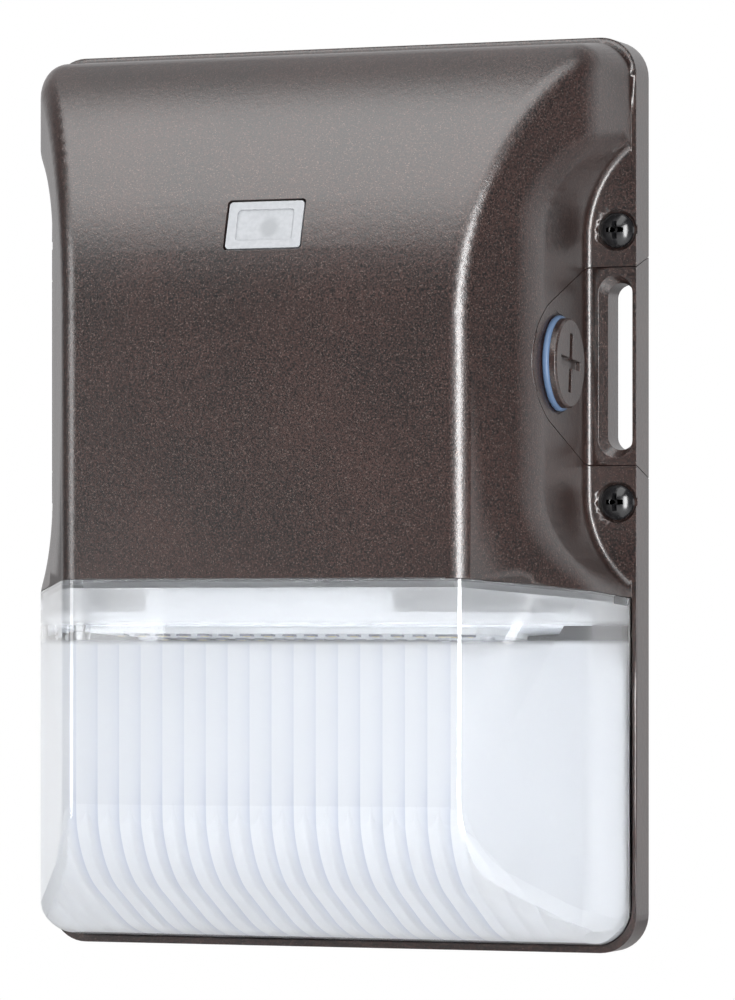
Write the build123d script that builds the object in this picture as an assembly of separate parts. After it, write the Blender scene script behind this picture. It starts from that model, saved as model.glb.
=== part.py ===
from build123d import *
import os
from math import asin, atan2, cos, hypot, pi, radians, sin, sqrt, tan

# Wall-mounted LED light with a photocell, all sizes in millimetres.
# +Z is up, the wall plane is Y = 0 and the front of the light faces -Y.
# The origin is the centre of the rear face. "depth" is the distance in front of the wall,
# and "height" is the distance above the lowest edge.

# Overall sizes
overall_height = 241.3
overall_width = 168.0
overall_depth = 67.9
rim_depth = 10.7
rim_lip = 1.4
rim_corner = 10.0

# Walls and clearances
casting_wall = 2.4
skirt_wall = 1.6
flange_thickness = 3.2
lens_wall = 2.2
seam_gap = 0.25
thread_clearance = 0.08
small_hole_play = 0.2
snug_play = 0.05
# How far a cutter passes the surface that it opens
past = 1.0

# Outline of the moulded body seen from above
wall_draft = 11.0
band_angle = 32.5
knee_depth = 31.1
knee_radius = 20.0
knee_margin = 1.9
face_edge_radius = 7.0

# Outline of the moulded body seen from the side
foot_low = 2.0
belly_depth = 28.8
belly_height = 3.9
belly_radius = 60.0
chin_height = 24.2
chin_radius = 27.5
brow_start = overall_height - 76.3
brow_radius = 86.0
crown_height = overall_height - 3.1
crown_radius = 10.0
crown_draft = 0.1

# Where the lens meets the housing
parting_rim_height = 0.3883 * overall_height
parting_front_height = parting_rim_height + 4.9

# Scoop in each side, where the screws and the conduit entry sit
entry_height = 0.6407 * overall_height
scoop_half_length = entry_height - parting_rim_height - 27.4
scoop_radius = 31.4
scoop_wall_x = overall_width / 2 - 13.9
scoop_draft = 2.5
scoop_foot_radius = 2.0

# Conduit entry block, plug and seal
plug_depth = 30.5
block_arc_radius = 16.6
block_half_height = 26.0
block_skirt_flare = 3.2
block_inner_x = overall_width / 2 - 27.0
thread_radius = 10.45
plug_head_radius = 11.75
plug_head_thickness = 2.0
plug_length = 10.0
plug_bore_radius = 7.8
plug_floor = 3.2
plug_edge = 0.5
cross_arm = 15.5
cross_width = 2.5
cross_depth = 1.3
cross_turn = 5.5
cross_cutter = 4.0
seal_radius = 12.5
seal_thickness = 1.8
seal_edge = 0.45 * seal_thickness
seal_seat_x = overall_width / 2 - 15.3
entry_lip = 0.4

# Mounting slot through each entry block
slot_inner_x = overall_width / 2 - 8.5
slot_outer_x = overall_width / 2 - 1.1
slot_length = 44.0
slot_bevel_size = 2.0

# Cover screws
screw_x = overall_width / 2 - 5.4
screw_offset = 35.8
screw_head_radius = 4.7
screw_head_height = 3.0
screw_head_edge = 0.62 * screw_head_height
screw_shank_radius = 2.35
screw_hole_radius = 2.7
screw_tip_depth = 1.7
screw_tip_room = 0.3
screw_boss_radius = 3.4
counterbore_radius = 5.5
counterbore_depth = 1.2
washer_radius = 4.5
washer_thickness = 0.8
recess_arm = 5.0
recess_width = 1.1
recess_depth = 1.6

# Back box
back_wall = 2.4
box_wall = 2.1
box_gap = 0.3
gasket_thickness = 1.1
gasket_relief = 0.3
wiring_hole_radius = 11.1
box_hole_spacing = 88.9
box_hole_radius = 2.75
wall_gasket_width = 118.0
wall_gasket_height = 56.0
wall_gasket_band = 8.0
wall_gasket_corner = 12.0
wall_gasket_thickness = 0.8
rib_thickness = 1.8
rib_height = 3.0
rib_half_length = overall_width / 2 - 12.0
rib_low = 12.0
rib_levels = (30.0, 74.0, entry_height - 36.6)
ground_x = 24.0
ground_height = entry_height + 31.4
ground_seat = 5.4
ground_boss_radius = 3.6
ground_hole_radius = 1.5

# Lens
lens_seal_thickness = 0.4
lens_seal_inset = 0.1
lens_clearance = 0.2
lens_top_wall = 2.0
lens_top_return = 7.0
lens_top_opening_rear = 14.0
flute_count = 24
flute_pitch = (overall_width - 20.9) / flute_count
flute_land = 0.5
flute_rise = 0.75
flute_root = 1.2

# Lamp engine behind the lens
floor_plate = 2.0
shelf_thickness = 2.5
tray_inset = 7.5
tray_rear = 16.0
tray_top_height = parting_rim_height - 5.4
tray_plate = 2.0
tray_lip_height = tray_top_height + 1.9
tray_face_half_width = 35.0
tray_face_height = parting_front_height - 3.0
tray_groove_places = (-29.0, 0.0, 29.0)
tray_groove_width = 0.6
board_half_width = overall_width / 2 - 31.0
board_rear = 22.0
board_front = 57.0
board_thickness = 1.6
led_size = 3.0
led_height = 0.7
led_columns = 16
led_rows = 2
led_column_pitch = (2 * board_half_width - 13.0) / (led_columns - 1)
led_row_pitch = 26.0
pillar_radius = 3.6
pillar_x = overall_width / 2 - 39.0
pillar_depth = 40.0
small_screw_radius = 1.45
small_head_radius = 2.9
small_head_height = 1.9
small_screw_grip = 6.0
reflector_sheet = 1.2
reflector_gap = 0.8
reflector_high = parting_rim_height - 11.7
reflector_stand_off = 2.0
reflector_rise = 14.0
reflector_corner = 7.0
reflector_screw_x = overall_width / 2 - 32.0
reflector_screw_low = 22.0
reflector_screw_high = reflector_high - 10.0
reflector_hole_floor = 0.8
reflector_screw_floor = 1.2

# Driver and wiring
driver_half_width = overall_width / 4
driver_low = parting_front_height + 5.4
driver_tall = 38.0
driver_front = 44.0
driver_thick = 24.0
driver_tab_x = driver_half_width + 6.0
driver_tab_thickness = 1.5
driver_tab_reach = 10.0
driver_tab_half = 7.0
driver_corner = 3.0
driver_lid_thickness = 1.5
driver_post_radius = 4.0
lead_radius = 0.9
lead_gap = 2.6
led_lead_x = driver_half_width - 10.0
led_lead_depth = 32.0
lead_cut = 8.0
grommet_radius = 5.0
supply_lead_pitch = 13.0
supply_lead_depth = 27.0
supply_lead_length = 20.0
nut_length = 18.0
nut_base_radius = 5.0
nut_tip_radius = 3.2

# Photocell
window_width = 20.8
window_height = 12.9
window_thickness = 3.0
window_corner = 1.0
window_gap = 0.5
window_centre_height = brow_start + 25.4
window_flange = 2.2
window_flange_thickness = 1.2
window_sink = 0.4
window_seat = 0.5
window_cut = (-8.0, 4.0)
panel_width = 15.8
panel_height = 8.6
panel_depth = 0.4
photocell_radius = 2.6
photocell_length = 6.0
holder_radius = 6.0
holder_length = 5.0
photocell_lead_radius = 0.72
photocell_lead_inset = 4.0

# Values that follow from the sizes above
base = -overall_height / 2
foot_half = overall_width / 2 - rim_lip
foot_high = overall_height - rim_lip
seat_depth = rim_depth - flange_thickness
parting_slope = (parting_front_height - parting_rim_height) / (overall_depth - rim_depth)
entry_z = base + entry_height
brow_centre = overall_depth - brow_radius
far = 4 * overall_width


def level(height):
    """Z of a height above the lowest edge."""
    return base + height


def block(x, depth, height):
    """Box between two X values, two depths and two heights."""
    box = Box(x[1] - x[0], depth[1] - depth[0], height[1] - height[0])
    return Pos((x[0] + x[1]) / 2, -(depth[0] + depth[1]) / 2, level((height[0] + height[1]) / 2)) * box


def pin(x, height, depth, radius):
    """Cylinder along Y between two depths."""
    length = depth[1] - depth[0]
    return Pos(x, -(depth[0] + depth[1]) / 2, level(height)) * (Rot(90, 0, 0) * Cylinder(radius, length))


def post(x, depth, height, radius):
    """Cylinder along Z between two heights."""
    length = height[1] - height[0]
    return Pos(x, -depth, level((height[0] + height[1]) / 2)) * Cylinder(radius, length)


def axle(x, depth, height, radius):
    """Cylinder along X between two X values."""
    length = x[1] - x[0]
    return Pos((x[0] + x[1]) / 2, -depth, level(height)) * (Rot(0, 90, 0) * Cylinder(radius, length))


def rod(start, end, radius):
    """Straight round wire between two points."""
    path = Line(start, end)
    return sweep(Plane(origin=path @ 0, z_dir=path % 0) * Circle(radius), path=path)


def both_sides(shape):
    """The shape and its mirror image across the middle plane."""
    return [shape, mirror(shape, about=Plane.YZ)]


def framed_plate(width, height, corner, depth):
    """Rounded rectangular plate, centred on the light, between two depths."""
    sketch = Plane.XZ * RectangleRounded(width, height, corner)
    return Pos(0, -depth[0], 0) * extrude(sketch, depth[1] - depth[0])


# The moulded body: one smooth outline that the housing and the lens share
def plan_outline(inset, start):
    """Body seen from above: drafted wall, sloped band and flat face on each side."""
    wall_slope, wall_cos = tan(radians(wall_draft)), cos(radians(wall_draft))
    band_slope, band_cos = tan(radians(band_angle)), cos(radians(band_angle))
    wall_x = foot_half - inset / wall_cos + rim_depth * wall_slope
    knee_x = foot_half - (knee_depth - rim_depth) * wall_slope
    band_x = knee_x - inset / band_cos + knee_depth * band_slope
    knee = (band_x - wall_x) / (band_slope - wall_slope)
    front = overall_depth - inset
    right = [
        (wall_x - start * wall_slope, -start),
        (wall_x - knee * wall_slope, -knee),
        (band_x - front * band_slope, -front),
    ]
    left = [(-x, y) for x, y in reversed(right)]
    face = make_face(Polyline(*right, *left, close=True))
    knees = [corner for corner in face.vertices() if abs(corner.Y + knee) < 0.01]
    return fillet(knees, knee_radius - inset)


def side_outline(inset, start):
    """Body seen from the side: belly, chin, upright face, curved brow and crown."""
    belly_slope = (belly_height - foot_low) / (belly_depth - rim_depth)
    chin_slope = (chin_height - belly_height) / (overall_depth - belly_depth)
    front = overall_depth - inset
    radius = brow_radius - inset
    crown = crown_height - inset
    rise = crown - brow_start
    heel = (-start, level(foot_low + (start - rim_depth) * belly_slope + inset))
    belly = (-belly_depth, level(belly_height + inset * hypot(1, (belly_slope + chin_slope) / 2)))
    chin = (-front, level(chin_height - inset * chin_slope + inset * hypot(1, chin_slope)))
    brow = (-front, level(brow_start))
    half_turn = asin(rise / radius) / 2
    middle = (-(brow_centre + radius * cos(half_turn)), level(brow_start + radius * sin(half_turn)))
    peak = (-(brow_centre + sqrt(radius**2 - rise**2)), level(crown))
    top = (-start, level(foot_high - inset + (rim_depth - start) * crown_draft))
    lines = [
        Line(heel, belly),
        Line(belly, chin),
        Line(chin, brow),
        ThreePointArc(brow, middle, peak),
        Line(peak, top),
        Line(top, heel),
    ]
    face = make_face(Curve() + lines)
    bends = (chin, chin_radius - inset), (belly, belly_radius + inset), (peak, crown_radius - inset)
    for point, bend in bends:
        corner = min(face.vertices(), key=lambda v: hypot(v.X - point[0], v.Y - point[1]))
        face = fillet(corner, bend)
    return face


def body(inset, start):
    """The whole body, inset by a wall and begun at a depth, with its face edges rounded."""
    plan = extrude(Plane.XY.offset(base) * plan_outline(inset, start), overall_height)
    side = extrude(Plane.YZ * side_outline(inset, start), overall_width, both=True)
    width = 2 * (foot_half - inset)
    height = foot_high - foot_low - 2 * inset
    outline = RectangleRounded(width, height, rim_corner - inset)
    middle = level((foot_low + foot_high) / 2)
    foot = extrude(Plane(origin=(0, -start, middle), x_dir=(1, 0, 0), z_dir=(0, -1, 0)) * outline, far)
    rounded = fillet(face_edges(plan & side, inset), face_edge_radius - inset)
    return rounded & foot


def face_edges(whole, inset):
    """Edges between the face of the body and its two sides."""
    front = overall_depth - inset
    edges = []
    for edge in whole.edges():
        middle = edge.center()
        across = abs(middle.X) < 1
        upright = edge.geom_type == GeomType.LINE and abs((edge % 0.5).Z) > 0.99 and -middle.Y < front - 0.1
        forward = min(-(edge @ 0).Y, -(edge @ 1).Y) > knee_depth + knee_margin - inset
        if forward and not across and not upright:
            edges.append(edge)
    return edges


def below_parting(offset):
    """Everything below the sloping plane where the lens meets the housing."""
    back, front = -far, far
    line = [
        (-back, level(parting_rim_height + (back - rim_depth) * parting_slope) + offset),
        (-front, level(parting_rim_height + (front - rim_depth) * parting_slope) + offset),
    ]
    face = make_face(Polyline(*line, (-front, -far), (-back, -far), close=True))
    return extrude(Plane.YZ * face, far, both=True)


def scoop(inset, floor):
    """Drafted pocket on the right side, open to the side and the front."""
    spread = tan(radians(scoop_draft))
    centre_x = scoop_wall_x + scoop_radius
    sections = []
    for depth in (floor, overall_depth + 10):
        radius = scoop_radius + inset + (depth - rim_depth) * spread
        plane = Plane(origin=(centre_x, -depth, entry_z), x_dir=(0, 0, 1), z_dir=(0, -1, 0))
        sections.append(plane * SlotCenterToCenter(2 * scoop_half_length, 2 * radius))
    return loft(sections, ruled=True)


def entry_outline(gap):
    """Side view of the conduit entry: a skirt, sloping shoulders and a round nose."""
    reach = block_half_height + gap
    nose = block_arc_radius + gap
    run = plug_depth - rim_depth
    lean = asin(nose / hypot(run, reach))
    touch = pi / 2 - (atan2(reach, run) - lean)
    points = [
        (0.05, entry_z + reach + block_skirt_flare),
        (-rim_depth, entry_z + reach),
        (-(plug_depth + nose * cos(touch)), entry_z + nose * sin(touch)),
    ]
    lower = [(y, 2 * entry_z - z) for y, z in reversed(points)]
    tip = (-(plug_depth + nose), entry_z)
    lines = [
        Polyline(*points),
        ThreePointArc(points[-1], tip, lower[0]),
        Polyline(*lower),
        Line(lower[-1], points[0]),
    ]
    return make_face(Curve() + lines)


def entry_prism(gap):
    """The conduit entry's outline carried across the right side of the light."""
    face = Plane(origin=(block_inner_x - gap, 0, 0), x_dir=(0, 1, 0), z_dir=(1, 0, 0)) * entry_outline(gap)
    return extrude(face, overall_width / 2)


def filled_cover():
    """The cover without its hollow: rim and body, scooped at both sides."""
    dome = body(0, seat_depth)
    for side in both_sides(scoop(0, rim_depth)):
        dome = dome - side
    rim = framed_plate(overall_width, overall_height, rim_corner, (0, rim_depth))
    whole = rim + dome
    foot_edges = [
        edge
        for edge in whole.edges()
        if abs(edge.center().Y + rim_depth) < 0.01
        and abs(edge.center().X) > scoop_wall_x - 1
        and abs(edge.center().Z - entry_z) < scoop_half_length + scoop_radius
        and abs(edge.center().X) < foot_half - 0.5
    ]
    return fillet(foot_edges, scoop_foot_radius)


# Front housing: die-cast dome, rim round the lens and shelf above it
def make_front_housing(cover):
    hollow = body(casting_wall, -past) - below_parting(shelf_thickness)
    for side in both_sides(scoop(casting_wall, seat_depth)):
        hollow = hollow - side
    inner = overall_width - 2 * skirt_wall, overall_height - 2 * skirt_wall
    behind_rim = framed_plate(*inner, rim_corner - skirt_wall, (-past, seat_depth))
    lens_bed = body(-lens_clearance, seat_depth + floor_plate) & below_parting(0)
    housing = cover - hollow - behind_rim - lens_bed
    for side in both_sides(entry_prism(seam_gap)):
        housing = housing - side
    for x, height in screw_places():
        above = rim_depth + 5 * past
        housing = housing - pin(x, height, (-past, above), screw_hole_radius)
        housing = housing - pin(x, height, (rim_depth - counterbore_depth, above), counterbore_radius)
    opening = window_width + 2 * window_gap, window_height + 2 * window_gap
    housing = housing - window_block(*opening, *window_cut, window_corner)
    for x in (-pillar_x, pillar_x):
        foot = tray_top_height
        roof = parting_rim_height + (pillar_depth - rim_depth) * parting_slope + shelf_thickness / 2
        grip = (foot - past, foot + small_screw_grip)
        pillar = post(x, pillar_depth, (foot, roof), pillar_radius)
        housing = housing + pillar - post(x, pillar_depth, grip, small_screw_radius)
    shelf = parting_rim_height + (led_lead_depth - rim_depth) * parting_slope
    span = (shelf - lead_cut, shelf + lead_cut)
    housing = housing - post(led_lead_x, led_lead_depth, span, grommet_radius)
    for x in (-driver_tab_x, driver_tab_x):
        middle = driver_low + driver_tall / 2
        stud = pin(x, middle, (driver_front, overall_depth - casting_wall / 2), driver_post_radius)
        grip = (driver_front - past, driver_front + small_screw_grip)
        housing = housing + stud - pin(x, middle, grip, small_screw_radius)
    for x, height in reflector_places():
        stand = (seat_depth + floor_plate / 2, seat_depth + floor_plate + reflector_stand_off)
        grip = (seat_depth + reflector_hole_floor, stand[1] + past)
        stud = pin(x, height, stand, pillar_radius)
        housing = housing + stud - pin(x, height, grip, small_screw_radius)
    return housing


def screw_places():
    """X and height of the four cover screws: right upper, right lower, left upper, left lower."""
    return [
        (side * screw_x, entry_height + step * screw_offset)
        for side in (1, -1)
        for step in (1, -1)
    ]


def reflector_places():
    """X and height of the four reflector screws."""
    return [
        (side * reflector_screw_x, height)
        for side in (1, -1)
        for height in (reflector_screw_low, reflector_screw_high)
    ]


# Window and photocell, set square to the curved brow
def window_plane():
    """Plane on the brow at the window's centre, with its normal pointing out of the light."""
    tilt = asin((window_centre_height - brow_start) / brow_radius)
    depth = brow_centre + brow_radius * cos(tilt)
    origin = (0, -depth, level(window_centre_height))
    return Plane(origin=origin, x_dir=(1, 0, 0), z_dir=(0, -cos(tilt), sin(tilt)))


def window_block(width, height, low, high, corner):
    """Rounded block square to the brow, between two distances from its surface."""
    plane = window_plane().offset(low)
    return extrude(plane * RectangleRounded(width, height, corner), high - low)


def make_window():
    face = -window_sink
    glass = window_block(window_width, window_height, face - window_thickness, face, window_corner)
    width, height = window_width + 2 * window_flange, window_height + 2 * window_flange
    back = -casting_wall - window_seat
    flange = window_block(width, height, back - window_flange_thickness, back, window_corner + window_flange)
    panel = window_block(panel_width, panel_height, face - panel_depth, face + past, window_corner)
    return glass + flange - panel


def sensor_tube(radius, low, high):
    """Cylinder square to the brow, between two distances from its surface."""
    return extrude(window_plane().offset(low) * Circle(radius), high - low)


# Lens: clear outer skin, fluted inside, with a return wall under the shelf
def flute_tool(x):
    """One round-topped rib, as long as the inside of the lens, that cuts a flute in it."""
    half = (flute_pitch - flute_land) / 2
    radius = (half**2 + flute_rise**2) / (2 * flute_rise)
    inner = side_outline(lens_wall, seat_depth)
    front = -(overall_depth - lens_wall)
    spine = [
        edge
        for edge in inner.edges()
        if edge.center().Y < level(brow_start) and edge.center().X < -seat_depth - 0.1
    ]
    path = Wire(spine)
    path = Plane.YZ * path
    ends = sorted((path @ 0, path @ 1), key=lambda p: p.Z)
    top = Vector(x, front, level(brow_start))
    section_plane = Plane(origin=top, x_dir=(1, 0, 0), z_dir=(0, 0, -1))
    # In this plane the local y axis points towards the wall for z_dir down and x_dir right.
    towards_wall = section_plane.y_dir.Y > 0
    sign = 1 if towards_wall else -1
    rib = make_face(
        Curve()
        + [
            ThreePointArc((-half, 0), (0, -sign * flute_rise), (half, 0)),
            Polyline((half, 0), (half, sign * flute_root), (-half, sign * flute_root), (-half, 0)),
        ]
    )
    moved = Pos(x, 0, 0) * path
    return sweep(section_plane * rib, path=moved, transition=Transition.TRANSFORMED)


def make_lens():
    start = seat_depth + floor_plate + lens_seal_thickness
    under = below_parting(-seam_gap)
    shell = body(0, start) & under
    fluted = extrude(Plane.YZ * side_outline(lens_wall, start - past), overall_width, both=True)
    first = -(flute_count - 1) / 2 * flute_pitch
    for index in range(flute_count):
        fluted = fluted + flute_tool(first + index * flute_pitch)
    walls = extrude(Plane.XY.offset(base) * plan_outline(lens_wall, start - past), overall_height)
    width = 2 * (foot_half - lens_wall)
    outline = RectangleRounded(width, foot_high - foot_low - 2 * lens_wall, rim_corner - lens_wall)
    middle = level((foot_low + foot_high) / 2)
    bed = Plane(origin=(0, -start + past, middle), x_dir=(1, 0, 0), z_dir=(0, -1, 0))
    inside = fluted & walls & extrude(bed * outline, far)
    inside = inside & below_parting(-seam_gap - lens_top_wall)
    reach = parting_rim_height - 4 * lens_top_wall, parting_front_height + lens_top_wall
    opening = inner_plan(lens_top_return, reach, lens_top_opening_rear)
    return shell - inside - opening


def inner_plan(inset, height, rear):
    """Flat slab that follows the body's outline inside the lens, between two heights."""
    outline = Plane.XY.offset(level(height[0])) * plan_outline(inset, rear)
    return extrude(outline, height[1] - height[0])


def make_lens_seal():
    """Silicone bead under the lens's foot, inside the rim."""
    front = seat_depth + floor_plate + lens_seal_thickness
    rear = seat_depth + floor_plate
    width = 2 * (foot_half - lens_seal_inset)
    height = foot_high - foot_low - 2 * lens_seal_inset
    ring = framed_ring(width, height, rim_corner, lens_wall - 2 * lens_seal_inset, (rear, front))
    return ring & below_parting(-seam_gap)


def framed_ring(width, height, corner, band, depth):
    """Rounded rectangular ring about the body's middle, between two depths."""
    middle = level((foot_low + foot_high) / 2)
    outer = RectangleRounded(width, height, corner)
    inner = RectangleRounded(width - 2 * band, height - 2 * band, corner - band)
    plane = Plane(origin=(0, -depth[0], middle), x_dir=(1, 0, 0), z_dir=(0, -1, 0))
    return extrude(plane * (outer - inner), depth[1] - depth[0])


# Back box: tray on the wall, with a conduit entry at the right and a blank one at the left
def make_back_box(cover):
    inset = skirt_wall + box_gap
    width, height = overall_width - 2 * inset, overall_height - 2 * inset
    corner = rim_corner - inset
    wall_top = seat_depth - gasket_thickness
    box = framed_plate(width, height, corner, (0, wall_top))
    inner = width - 2 * box_wall, height - 2 * box_wall
    box = box - framed_plate(*inner, corner - box_wall, (back_wall, wall_top + past))
    for x, height in screw_places():
        box = box + pin(x, height, (back_wall / 2, wall_top), screw_boss_radius)
    half_rib = rib_thickness / 2
    rib_depth = back_wall / 2, rib_height + back_wall
    for x in (-box_hole_spacing / 2, box_hole_spacing / 2):
        box = box + block((x - half_rib, x + half_rib), rib_depth, (rib_low, rib_levels[-1]))
    for height in rib_levels:
        rib_span = (height - half_rib, height + half_rib)
        box = box + block((-rib_half_length, rib_half_length), rib_depth, rib_span)
    right_entry = make_entry(cover)
    left_entry = mirror(cover & entry_prism(0), about=Plane.YZ)
    box = box + right_entry + left_entry
    for slot in both_sides(mounting_slot()):
        box = box - slot
    grip = (screw_tip_depth - screw_tip_room, seat_depth + past)
    for x, height in screw_places():
        box = box - pin(x, height, grip, screw_shank_radius + thread_clearance)
    through = (-past, back_wall + past)
    box = box - pin(0, entry_height, through, wiring_hole_radius)
    for x in (-box_hole_spacing / 2, box_hole_spacing / 2):
        box = box - pin(x, entry_height, through, box_hole_radius)
    ground = pin(ground_x, ground_height, (back_wall / 2, ground_seat), ground_boss_radius)
    grip = (back_wall / 2, ground_seat + past)
    box = box + ground - pin(ground_x, ground_height, grip, ground_hole_radius)
    return box - wall_gasket_ring(wall_gasket_thickness)


def wall_gasket_ring(thickness):
    """Ring round the wiring hole on the rear face."""
    plane = Plane(origin=(0, 0, entry_z), x_dir=(1, 0, 0), z_dir=(0, -1, 0))
    outer = RectangleRounded(wall_gasket_width, wall_gasket_height, wall_gasket_corner)
    band = 2 * wall_gasket_band
    inner_corner = wall_gasket_corner - wall_gasket_band
    inner = RectangleRounded(wall_gasket_width - band, wall_gasket_height - band, inner_corner)
    return extrude(plane * (outer - inner), thickness)


def make_entry(cover):
    """Conduit entry at the right side, flush with the cover around it."""
    entry = cover & entry_prism(0)
    through = (block_inner_x - past, overall_width)
    bore = axle(through, plug_depth, entry_height, thread_radius + thread_clearance)
    seat = axle((seal_seat_x, overall_width), plug_depth, entry_height, seal_radius + entry_lip)
    return entry - bore - seat


def mounting_slot():
    """Upright slot through the right entry's flange, for a wall screw."""
    middle_x = (slot_outer_x + slot_inner_x) / 2
    plane = Plane(origin=(middle_x, past, entry_z), x_dir=(0, 0, 1), z_dir=(0, -1, 0))
    slot = extrude(plane * SlotOverall(slot_length, slot_outer_x - slot_inner_x), rim_depth + 5 * past)
    return slot + slot_bevel()


def slot_bevel():
    """Rounded lead-in on the slot's inner side and ends, at its front."""
    slot_width = slot_outer_x - slot_inner_x
    sections = []
    for grow, depth in ((0, rim_depth - slot_bevel_size), (slot_bevel_size, rim_depth + 0.01)):
        middle_x = (slot_outer_x + slot_inner_x - grow) / 2
        plane = Plane(origin=(middle_x, -depth, entry_z), x_dir=(0, 0, 1), z_dir=(0, -1, 0))
        sections.append(plane * SlotOverall(slot_length + 2 * grow, slot_width + grow))
    return loft(sections, ruled=True)


def make_housing_gasket():
    """Foam gasket on the back box's wall, in two lengths that stop at the entries."""
    inset = skirt_wall + box_gap
    band = box_wall - gasket_relief
    top, low = seat_depth, seat_depth - gasket_thickness
    outline = overall_width - 2 * inset, overall_height - 2 * inset
    corner = rim_corner - inset
    outer = framed_plate(*outline, corner, (low, top))
    grown = 2 * (inset + band)
    hollow = overall_width - grown, overall_height - grown
    ring = outer - framed_plate(*hollow, corner - band, (low - past, top + past))
    for side in both_sides(entry_prism(seam_gap)):
        ring = ring - side
    for x, height in screw_places():
        ring = ring + pin(x, height, (low, top), screw_boss_radius)
    for x, height in screw_places():
        ring = ring - pin(x, height, (low - past, top + past), screw_hole_radius)
    return ring & framed_plate(*outline, corner, (low, top))


# Fasteners
def make_cover_screw(x, height):
    """Pan-head screw with a cross recess, turned in from the front."""
    under = rim_depth - counterbore_depth + washer_thickness
    head = pin(x, height, (under, under + screw_head_height), screw_head_radius)
    rim_edge = head.edges().sort_by(Axis.Y)[0]
    head = fillet(rim_edge, screw_head_edge)
    screw = head + pin(x, height, (screw_tip_depth, under), screw_shank_radius)
    top = under + screw_head_height
    cut = (top - recess_depth, top + past)
    arm = recess_arm / 2
    half = recess_width / 2
    screw = screw - block((x - arm, x + arm), cut, (height - half, height + half))
    return screw - block((x - half, x + half), cut, (height - arm, height + arm))


def make_screw_washer(x, height):
    """Rubber sealing washer under a cover screw's head."""
    under = rim_depth - counterbore_depth
    washer = pin(x, height, (under, under + washer_thickness), washer_radius)
    return washer - pin(x, height, (under - past, under + 2 * past), screw_shank_radius + snug_play)


def small_screw(x, height, head_depth, grip_depth):
    """Small pan-head screw along Y, with its head at the rear or the front."""
    outward = 1 if head_depth > grip_depth else -1
    head = sorted((head_depth, head_depth + outward * small_head_height))
    shank = sorted((head_depth, grip_depth))
    core = pin(x, height, shank, small_screw_radius - thread_clearance)
    return pin(x, height, head, small_head_radius) + core


# Conduit plug and its seal
def make_plug():
    """Half-inch conduit plug at the right side: headed, threaded and hollow."""
    under = seal_seat_x + seal_thickness
    top = under + plug_head_thickness
    head = axle((under, top), plug_depth, entry_height, plug_head_radius)
    head = chamfer(head.edges().sort_by(Axis.X)[-1], plug_edge)
    inner = under - plug_length
    plug = head + axle((inner, under), plug_depth, entry_height, thread_radius)
    plug = plug - axle((inner - past, top - plug_floor), plug_depth, entry_height, plug_bore_radius)
    cross = Box(cross_cutter, cross_arm, cross_width) + Box(cross_cutter, cross_width, cross_arm)
    middle = top - cross_depth + cross_cutter / 2
    return plug - Pos(middle, -plug_depth, entry_z) * (Rot(-cross_turn, 0, 0) * cross)


def make_plug_seal():
    """Silicone ring squeezed under the plug's head."""
    ring = axle((seal_seat_x, seal_seat_x + seal_thickness), plug_depth, entry_height, seal_radius)
    through = (seal_seat_x - past, overall_width)
    ring = ring - axle(through, plug_depth, entry_height, thread_radius + 2 * snug_play)
    circles = ring.edges().filter_by(GeomType.CIRCLE)
    rims = [edge for edge in circles if edge.radius > seal_radius - 0.1]
    return fillet(rims, seal_edge)


# Lamp engine
def make_led_tray():
    """White tray under the shelf that carries the board."""
    low = tray_top_height - tray_plate
    tray = inner_plan(tray_inset, (low, tray_lip_height), tray_rear)
    rise = (tray_top_height, tray_lip_height + past)
    hollow = inner_plan(tray_inset + tray_plate, rise, tray_rear + tray_plate)
    front = overall_depth - tray_inset
    face = (front - tray_plate, front)
    half = tray_face_half_width
    tray = tray - hollow + block((-half, half), face, (low, tray_face_height))
    for x in tray_groove_places:
        groove = (x - tray_groove_width / 2, x + tray_groove_width / 2)
        cut = (front - tray_groove_width, front + past)
        tray = tray - block(groove, cut, (low - past, tray_face_height + past))
    through = (low - past, tray_top_height + past)
    for x in (-pillar_x, pillar_x):
        tray = tray - post(x, pillar_depth, through, small_screw_radius + small_hole_play)
    return tray - post(led_lead_x, led_lead_depth, through, lead_gap)


def make_led_board():
    top = tray_top_height - tray_plate
    low = top - board_thickness
    board = block((-board_half_width, board_half_width), (board_rear, board_front), (low, top))
    for x in (-pillar_x, pillar_x):
        hole = post(x, pillar_depth, (low - past, top + past), small_screw_radius + small_hole_play)
        board = board - hole
    return board


def make_leds():
    top = tray_top_height - tray_plate - board_thickness
    middle = (board_rear + board_front) / 2
    chips = []
    for row in range(led_rows):
        depth = middle + (row - (led_rows - 1) / 2) * led_row_pitch
        for column in range(led_columns):
            x = (column - (led_columns - 1) / 2) * led_column_pitch
            half = led_size / 2
            chips.append(block((x - half, x + half), (depth - half, depth + half), (top - led_height, top)))
    return Compound(children=chips)


def make_board_screws():
    low = tray_top_height - tray_plate - board_thickness
    screws = []
    for x in (-pillar_x, pillar_x):
        head = post(x, pillar_depth, (low - small_head_height, low), small_head_radius)
        grip = low, tray_top_height + small_screw_grip - past
        shank = post(x, pillar_depth, grip, small_screw_radius - thread_clearance)
        screws.append(head + shank)
    return Compound(children=screws)


def make_reflector():
    """White pan behind the lens, with drafted walls that follow the lens's inside."""
    rear = seat_depth + floor_plate + reflector_stand_off
    front = rear + reflector_rise
    pan = reflector_block(0, rear, front)
    pan = pan - reflector_block(reflector_sheet, rear + reflector_sheet, front + reflector_sheet)
    for x, height in reflector_places():
        through = (rear - past, rear + 2 * reflector_sheet)
        pan = pan - pin(x, height, through, small_screw_radius + small_hole_play)
    return pan


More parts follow.
